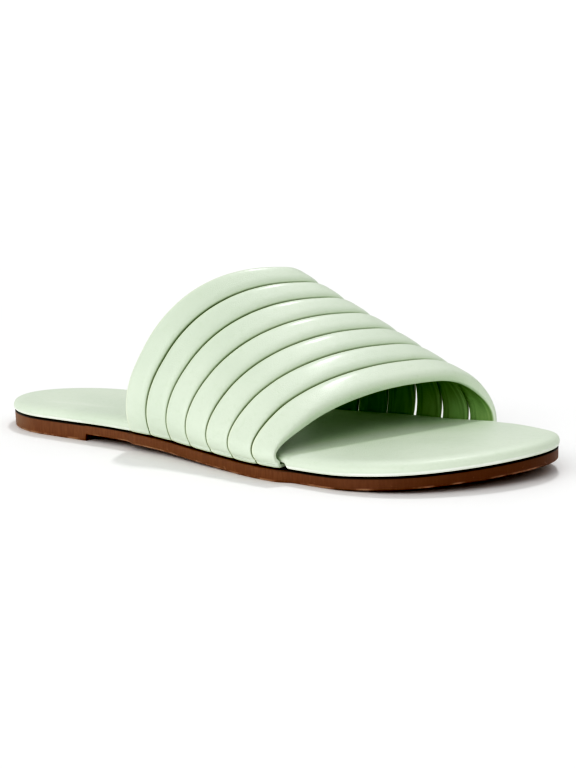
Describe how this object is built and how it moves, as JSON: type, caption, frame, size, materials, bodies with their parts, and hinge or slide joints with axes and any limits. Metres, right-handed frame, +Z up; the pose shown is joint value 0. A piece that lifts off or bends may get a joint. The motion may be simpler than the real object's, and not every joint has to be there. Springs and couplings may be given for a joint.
{
  "type": "slide sandal",
  "caption": "Flat open-toe slide sandal for the right foot, with padded mint straps side by side over the instep, a padded footbed and a thin brown sole.",
  "frame": {"origin": "on the floor, below the middle of the whole sandal's bounding box", "axes": "+X from heel to toe, +Y toward the inner side of the foot, +Z up"},
  "size_m": [0.252, 0.0986, 0.0681],
  "materials": {
    "strap_leather": "satin",
    "footbed_leather": "satin",
    "sole_rubber": "satin"
  },
  "bodies": {
    "root": {"outsole": "sole_rubber", "footbed": "footbed_leather", "strap_1": "strap_leather", "strap_2": "strap_leather", "strap_3": "strap_leather", "strap_4": "strap_leather", "strap_5": "strap_leather", "strap_6": "strap_leather", "strap_7": "strap_leather"}
  },
  "joints": []
}
